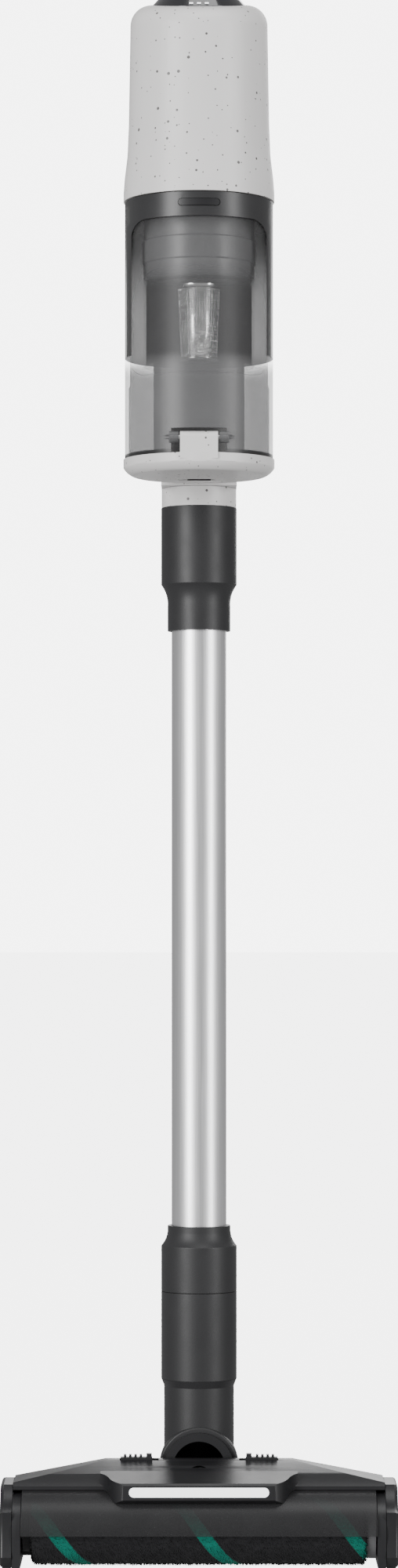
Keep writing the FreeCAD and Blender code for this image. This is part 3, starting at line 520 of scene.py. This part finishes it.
# a sleeve of pile with thousands of short tufts
def brushRoller():
    size = {
        "radius": 0.0219, "wave": 0.00025, "waves": (9, 61, 97), "endTaper": 0.10, "endShare": 0.985,
        "tuft": 0.0013, "tuftRadius": 0.00034, "tipRadius": 0.00008, "lean": 0.35, "perArea": 430000.0,
        "around": 96, "rows": 114,
    }
    wavesAround, wavesAlong, wavesAcross = size["waves"]
    low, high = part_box("roller_pile")
    axis = joints["roller_spin"]["pos_m"]

    def sleeve(row, step):
        share = row / (size["rows"] - 1)
        turn = 2 * math.pi * step / size["around"]
        twist = math.sin(turn * wavesAround + share * wavesAlong)
        ripple = size["wave"] * twist * math.sin(share * wavesAcross)
        ending = max(0, abs(share * 2 - 1) - size["endShare"]) / (1 - size["endShare"])
        radius = (size["radius"] + ripple) * (1 - size["endTaper"] * ending)
        along = low[0] + share * (high[0] - low[0])
        return (along, axis[1] + radius * math.sin(turn), axis[2] + radius * math.cos(turn))

    vertices, faces = ringGrid(size["rows"], size["around"], sleeve)
    for row, edge in ((0, low[0]), (size["rows"] - 1, high[0])):
        vertices.append((edge, axis[1], axis[2]))
        first = row * size["around"]
        for step in range(size["around"]):
            faces.append((len(vertices) - 1, first + step, first + (step + 1) % size["around"]))
    base = newPiece("sleeveBase", vertices, faces, "pile")
    recipe = Recipe("pileTufts", {
        "tufts per area": ("NodeSocketFloat", 300000.0), "tuft length": ("NodeSocketFloat", 0.001),
        "tuft radius": ("NodeSocketFloat", 0.0003), "seed": ("NodeSocketInt", 7),
    })
    spots = recipe.put("GeometryNodeDistributePointsOnFaces", None, {
        "Mesh": "Geometry", "Density": "tufts per area", "Seed": "seed",
    })
    tuft = recipe.put("GeometryNodeMeshCone", {"fill_type": "NONE"}, {
        "Vertices": 3, "Radius Bottom": "tuft radius", "Radius Top": size["tipRadius"],
        "Depth": "tuft length",
    })
    lean = recipe.put("FunctionNodeRandomValue", {"data_type": "FLOAT_VECTOR"}, {
        0: (-size["lean"], -size["lean"], 0.0), 1: (size["lean"], size["lean"], 6.28), "Seed": "seed",
    })
    turned = recipe.put("FunctionNodeRotateRotation", {"rotation_space": "LOCAL"}, {
        0: spots.outputs["Rotation"], 1: lean.outputs[0],
    })
    planted = recipe.put("GeometryNodeInstanceOnPoints", None, {
        "Points": spots.outputs[0], "Instance": tuft.outputs[0], "Rotation": turned.outputs[0],
    })
    joined = recipe.put("GeometryNodeJoinGeometry", None, {"Geometry": ["Geometry", planted.outputs[0]]})
    recipe.end(joined.outputs[0], "pile")
    piece = recipe.grow(base, "brush_pile", "pile", **{
        "tufts per area": size["perArea"], "tuft length": size["tuft"], "tuft radius": size["tuftRadius"],
    })
    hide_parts("roller_pile", "roller_stripe")
    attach(piece, "roller")
    print("brush roller:", len(piece.data.polygons), "faces")


# a woven cone inside the cyclone, on a moulded core
def dustScreen():
    size = {
        "around": 40, "rows": 27, "wire": 0.00022, "sides": 4, "tall": 0.048, "lift": 0.0006,
        "wide": 0.0143, "narrow": 0.0122, "coreAround": 48,
        "core": [
            (0.0, 0.816), (0.0126, 0.816), (0.0130, 0.8172), (0.0121, 0.8180), (0.0113, 0.8185),
            (0.0131, 0.8634), (0.0158, 0.8640), (0.0159, 0.8690), (0.0150, 0.8692), (0.0, 0.8692),
        ],
    }
    low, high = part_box("mesh_screen")
    middle = (low[1] + high[1]) / 2
    bottom = low[2] + size["lift"]

    def cone(row, step):
        share = row / (size["rows"] - 1)
        turn = 2 * math.pi * (step + 0.5 * (row % 2)) / size["around"]
        radius = size["narrow"] + (size["wide"] - size["narrow"]) * share
        height = bottom + share * (size["tall"] - size["lift"])
        return (radius * math.cos(turn), middle + radius * math.sin(turn), height)

    vertices, faces = ringGrid(size["rows"], size["around"], cone)
    base = newPiece("screenBase", vertices, faces, "screen")
    recipe = Recipe("wovenScreen", {
        "wire radius": ("NodeSocketFloat", 0.0002), "wire sides": ("NodeSocketInt", 4),
    })
    wires = recipe.put("GeometryNodeMeshToCurve", None, {0: "Geometry"})
    section = recipe.put("GeometryNodeCurvePrimitiveCircle", None, {
        "Resolution": "wire sides", "Radius": "wire radius",
    })
    tubes = recipe.put("GeometryNodeCurveToMesh", None, {
        "Curve": wires.outputs[0], "Profile Curve": section.outputs[0], "Fill Caps": True,
    })
    recipe.end(tubes.outputs[0], "screen")
    piece = recipe.grow(base, "woven_screen", "screen", **{
        "wire radius": size["wire"], "wire sides": size["sides"],
    })
    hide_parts("mesh_screen")
    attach(piece, "dust_bin")

    # the cap, body and collar that carry the weave
    def turned(row, step):
        radius, height = size["core"][row]
        turn = 2 * math.pi * step / size["coreAround"]
        return (radius * math.cos(turn), middle + radius * math.sin(turn), height)

    core = newPiece("screen_core", *ringGrid(len(size["core"]), size["coreAround"], turned), "screen")
    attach(core, "dust_bin")
    print("dust screen:", len(piece.data.polygons), "faces")


# a zigzag ring between two plain rims
def pleatedRing(node, name, pleats, depth, body, finish):
    size = {"rim": 0.0018, "overlap": 0.001, "thick": 0.0006, "clear": 0.0003, "around": 72}
    low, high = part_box(node)
    middle = (low[1] + high[1]) / 2
    outer = (high[0] - low[0]) / 2
    inner = outer - depth
    steps = pleats * 2
    bottom, top = low[2] + size["rim"], high[2] - size["rim"]

    def wall(row, step):
        turn = 2 * math.pi * step / steps
        thick = size["thick"] if row in (2, 3) else 0
        radius = (outer if step % 2 else inner) - thick - size["clear"]
        height = bottom if row in (0, 3) else top
        return (radius * math.cos(turn), middle + radius * math.sin(turn), height)

    piece = newPiece(name, *closedRing(4, steps, wall), finish, smooth=False)
    rims = []
    for label, z0, z1 in (("low_rim", low[2], bottom), ("high_rim", top, high[2])):
        hole = inner - size["overlap"]
        corners = [(outer, z0), (outer, z1), (hole, z1), (hole, z0)]

        def band(row, step):
            radius, height = corners[row]
            turn = 2 * math.pi * step / size["around"]
            return (radius * math.cos(turn), middle + radius * math.sin(turn), height)

        rims.append(newPiece(f"{name}_{label}", *closedRing(4, size["around"], band), "rubber", smooth=False))
    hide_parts(node)
    for item in [piece, *rims]:
        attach(item, body)


# a soft ribbed tube from the head's tunnel to the swivel
def airHose():
    size = {
        "ribs": 9, "outer": 0.0098, "valley": 0.0088, "wall": 0.0006, "around": 56, "perRib": 8,
        "plump": 0.7, "fixedFront": 0.004, "fixedBack": 0.013,
    }
    low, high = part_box("air_hose")
    height = (low[2] + high[2]) / 2
    rows = size["ribs"] * size["perRib"] + 1

    def radiusAt(share):
        swell = 0.5 - 0.5 * math.cos(2 * math.pi * size["ribs"] * share)
        return size["valley"] + (size["outer"] - size["valley"]) * swell ** size["plump"]

    def tube(row, step):
        inside = row >= rows
        share = (2 * rows - 1 - row if inside else row) / (rows - 1)
        radius = radiusAt(share) - (size["wall"] if inside else 0)
        turn = 2 * math.pi * step / size["around"]
        along = low[1] + share * (high[1] - low[1])
        return (radius * math.cos(turn), along, height + radius * math.sin(turn))

    piece = newPiece("ribbed_hose", *closedRing(rows * 2, size["around"], tube), "rubber")
    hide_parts("air_hose")
    start, end = (0, low[1] + size["fixedFront"], height), (0, high[1] - size["fixedBack"], height)
    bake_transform(piece, "floor_head", "carrier", start=start, end=end)
    print("air hose:", len(piece.data.polygons), "faces")


# soft rubber with rows of raised bars
def gripPad():
    size = {
        "bars": 15, "barLength": 0.0128, "barRadius": 0.0011, "barSides": 14, "barDepth": 0.0012,
        "recess": 0.0009, "bevel": 0.0007, "near": 0.0001, "margin": 0.005,
    }
    low, high = (Vector(corner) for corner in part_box("grip_pad"))
    work = bmesh.new()
    bmesh.ops.create_cube(work, size=1)
    span = high - low
    for vertex in work.verts:
        vertex.co = Vector([low[i] + (vertex.co[i] + 0.5) * span[i] for i in range(3)])
        if vertex.co.y < low.y + size["near"]:
            vertex.co.y += size["recess"]
    front = low.y + size["recess"] + size["near"]
    edges = [edge for edge in work.edges if min(v.co.y for v in edge.verts) < front]
    bmesh.ops.bevel(work, geom=edges, offset=size["bevel"], segments=3, affect="EDGES", profile=0.6)
    mesh = bpy.data.meshes.new("gripBase")
    work.to_mesh(mesh)
    work.free()
    base = bpy.data.objects.new("gripBase", mesh)
    bpy.context.scene.collection.objects.link(base)
    recipe = Recipe("gripBars", {
        "bars": ("NodeSocketInt", 12), "bar radius": ("NodeSocketFloat", 0.001),
        "bar length": ("NodeSocketFloat", 0.01), "first bar": ("NodeSocketVector", (0, 0, 0)),
        "step": ("NodeSocketVector", (0, 0, 0.005)),
    })
    line = recipe.put("GeometryNodeMeshLine", None, {
        "Count": "bars", "Start Location": "first bar", "Offset": "step",
    })
    bar = recipe.put("GeometryNodeMeshCylinder", None, {
        "Vertices": size["barSides"], "Side Segments": 1, "Radius": "bar radius", "Depth": "bar length",
    })
    laid = recipe.put("GeometryNodeInstanceOnPoints", None, {
        "Points": line.outputs[0], "Instance": bar.outputs[0], "Rotation": (0, math.pi / 2, 0),
    })
    joined = recipe.put("GeometryNodeJoinGeometry", None, {"Geometry": ["Geometry", laid.outputs[0]]})
    recipe.end(joined.outputs[0], "rubber")
    gap = (span.z - 2 * size["margin"]) / (size["bars"] - 1)
    piece = recipe.grow(base, "ribbed_grip", "rubber", **{
        "bars": size["bars"], "bar radius": size["barRadius"], "bar length": size["barLength"],
        "first bar": (0, low.y + size["barDepth"], low.z + size["margin"]), "step": (0, 0, gap),
    })
    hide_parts("grip_pad")
    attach(piece, "upper")
    print("grip pad:", size["bars"], "bars")


# a dished hub inside a treaded soft tyre
def treadedWheels():
    size = {
        "ribs": 40, "tread": 0.0005, "treadFrom": 0.0124, "around": 160,
        # radius and distance from the inner face, then radius and distance from the outer face
        "inner": [(0.0016, 0.0), (0.0095, 0.0), (0.0118, 0.0), (0.0126, 0.0008), (0.0129, 0.0020)],
        "outer": [
            (0.0129, 0.0020), (0.0126, 0.0008), (0.0118, 0.0), (0.0094, 0.0), (0.0086, 0.0016),
            (0.0040, 0.0018), (0.0036, 0.0004), (0.0016, 0.0004),
        ],
    }
    for side in ("right", "left"):
        low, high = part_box(f"rear_wheel_{side}")
        axis = joints[f"wheel_{side}_spin"]["pos_m"]
        out = 1 if side == "right" else -1
        inner, outer = (low[0], high[0]) if out > 0 else (high[0], low[0])
        wide = abs(outer - inner)
        profile = size["inner"] + [(radius, wide - across) for radius, across in size["outer"]]

        def rim(row, step):
            radius, across = profile[row]
            turn = 2 * math.pi * step / size["around"]
            if radius > size["treadFrom"]:
                radius -= size["tread"] * (0.5 + 0.5 * math.cos(turn * size["ribs"])) ** 2
            along = inner + out * across
            return (along, axis[1] + radius * math.cos(turn), axis[2] + radius * math.sin(turn))

        piece = newPiece(f"treaded_wheel_{side}", *closedRing(len(profile), size["around"], rim), "rubber")
        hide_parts(f"rear_wheel_{side}")
        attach(piece, f"wheel_{side}")
    print("rear wheels done")


# moulded parts in their own shapes, with the sharp edges broken
def softenedShells():
    size = {"merge": 2e-6, "flat": math.radians(0.6), "sharp": math.radians(32), "segments": 2}
    edges = {
        "head_cover": 0.0011, "side_cap_right": 0.0006, "side_cap_left": 0.0006, "sole_plate": 0.0005,
        "cover_latch_right": 0.0004, "cover_latch_left": 0.0004, "swivel_ring": 0.0005,
        "neck_coupling": 0.0004, "lower_collar": 0.0004, "upper_collar": 0.0004, "inlet_neck": 0.0003,
        "motor_housing": 0.0006,
        "bin_frame": 0.0006, "dust_cup": 0.0005, "bin_lid": 0.0005, "rear_body": 0.0006, "rear_cover": 0.0006,
        "battery_case": 0.0010, "battery_dock": 0.0008, "battery_button": 0.0005, "wand_button": 0.0004,
        "nozzle_button": 0.0004, "control_panel": 0.0003, "power_button": 0.0004, "roller_window": 0.0004,
    }
    for node, width in edges.items():
        source = nodes[node]
        mesh = source.data.copy()
        work = bmesh.new()
        work.from_mesh(mesh)
        bmesh.ops.remove_doubles(work, verts=work.verts, dist=size["merge"])
        bmesh.ops.dissolve_limit(work, angle_limit=size["flat"], verts=work.verts, edges=work.edges)
        for face in work.faces:
            face.smooth = True
        work.to_mesh(mesh)
        work.free()
        draft = bpy.data.objects.new("draft", mesh)
        bpy.context.scene.collection.objects.link(draft)
        bevel = draft.modifiers.new("edges", "BEVEL")
        bevel.width, bevel.segments, bevel.limit_method = width, size["segments"], "ANGLE"
        bevel.angle_limit = size["sharp"]
        bevel.use_clamp_overlap = True
        draft.modifiers.new("normals", "WEIGHTED_NORMAL").keep_sharp = True
        evaluated = draft.evaluated_get(bpy.context.evaluated_depsgraph_get())
        made = bpy.data.meshes.new_from_object(evaluated)
        bpy.data.objects.remove(draft)
        made.name = f"{node}_shell"
        piece = bpy.data.objects.new(f"{node}_shell", made)
        bpy.context.scene.collection.objects.link(piece)
        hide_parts(node)
        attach(piece, body_of(source)[0])
    print("softened shells:", len(edges))


softenedShells()
brushRoller()
dustScreen()
pleatedRing("fine_filter", "pleated_filter", 48, 0.0150, "dust_bin", "inner")
pleatedRing("exhaust_filter", "pleated_outlet", 56, 0.0300, "upper", "paper")
airHose()
gripPad()
treadedWheels()


# a faint pale floor, a white world and four soft lights
def studio():
    # each lamp: its place, power, width and height; all of them face the middle of the object
    light = {
        "key": ((-1.7, -2.0, 1.0), 104, 0.8, 2.2), "side": ((1.9, -1.5, 0.9), 52, 0.45, 2.2),
        "top": ((0.2, -0.6, 2.6), 20, 1.2, 1.2), "back": ((0.4, 2.2, 1.3), 30, 1.4, 1.8),
    }
    ground = {"reach": 40, "tone": (0.90, 0.90, 0.90), "world": 0.36, "seen": 6, "middle": 0.55}
    # the floor is faint, so that it runs into the pale backdrop without a horizon
    finish = Finish("studioFloor", baseColor=ground["tone"], roughness=0.8, alpha=0.15)
    mesh = bpy.data.meshes.new("studio_floor")
    reach = ground["reach"]
    corners = [(-reach, -reach, 0), (reach, -reach, 0), (reach, reach, 0), (-reach, reach, 0)]
    mesh.from_pydata(corners, [], [(0, 1, 2, 3)])
    mesh.materials.append(finish.material)
    floor = bpy.data.objects.new("studio_floor", mesh)
    bpy.context.scene.collection.objects.link(floor)
    middle = Vector((0, 0, ground["middle"]))
    for name, (spot, power, wide, tall) in light.items():
        lamp = bpy.data.lights.new(name, "AREA")
        lamp.shape = "RECTANGLE"
        lamp.size, lamp.size_y, lamp.energy = wide, tall, power
        holder = bpy.data.objects.new(name, lamp)
        holder.location = spot
        holder.rotation_euler = (middle - Vector(spot)).to_track_quat("-Z", "Y").to_euler()
        bpy.context.scene.collection.objects.link(holder)
    # the camera sees a brighter white than the one that lights the object
    world = bpy.data.worlds.new("studio")
    world.use_nodes = True
    tree = world.node_tree
    soft = tree.nodes["Background"]
    soft.inputs[0].default_value, soft.inputs[1].default_value = (1, 1, 1, 1), ground["world"]
    plain = tree.nodes.new("ShaderNodeBackground")
    plain.inputs[0].default_value, plain.inputs[1].default_value = (1, 1, 1, 1), ground["seen"]
    path = tree.nodes.new("ShaderNodeLightPath")
    either = tree.nodes.new("ShaderNodeMixShader")
    tree.links.new(path.outputs["Is Camera Ray"], either.inputs[0])
    tree.links.new(soft.outputs[0], either.inputs[1])
    tree.links.new(plain.outputs[0], either.inputs[2])
    tree.links.new(either.outputs[0], tree.nodes["World Output"].inputs[0])
    bpy.context.scene.world = world


def camera():
    view = {"distance": 2.85, "height": 0.446, "lens": 94.3, "shift": 0.08}
    lens = bpy.data.cameras.new("camera")
    lens.sensor_fit = "VERTICAL"
    lens.sensor_height = 36
    lens.lens = view["lens"]
    lens.shift_y = view["shift"]
    lens.clip_end = 100
    holder = bpy.data.objects.new("camera", lens)
    holder.location = (0, -view["distance"], view["height"])
    holder.rotation_euler = (math.pi / 2, 0, 0)
    bpy.context.scene.collection.objects.link(holder)
    bpy.context.scene.camera = holder


studio()
camera()
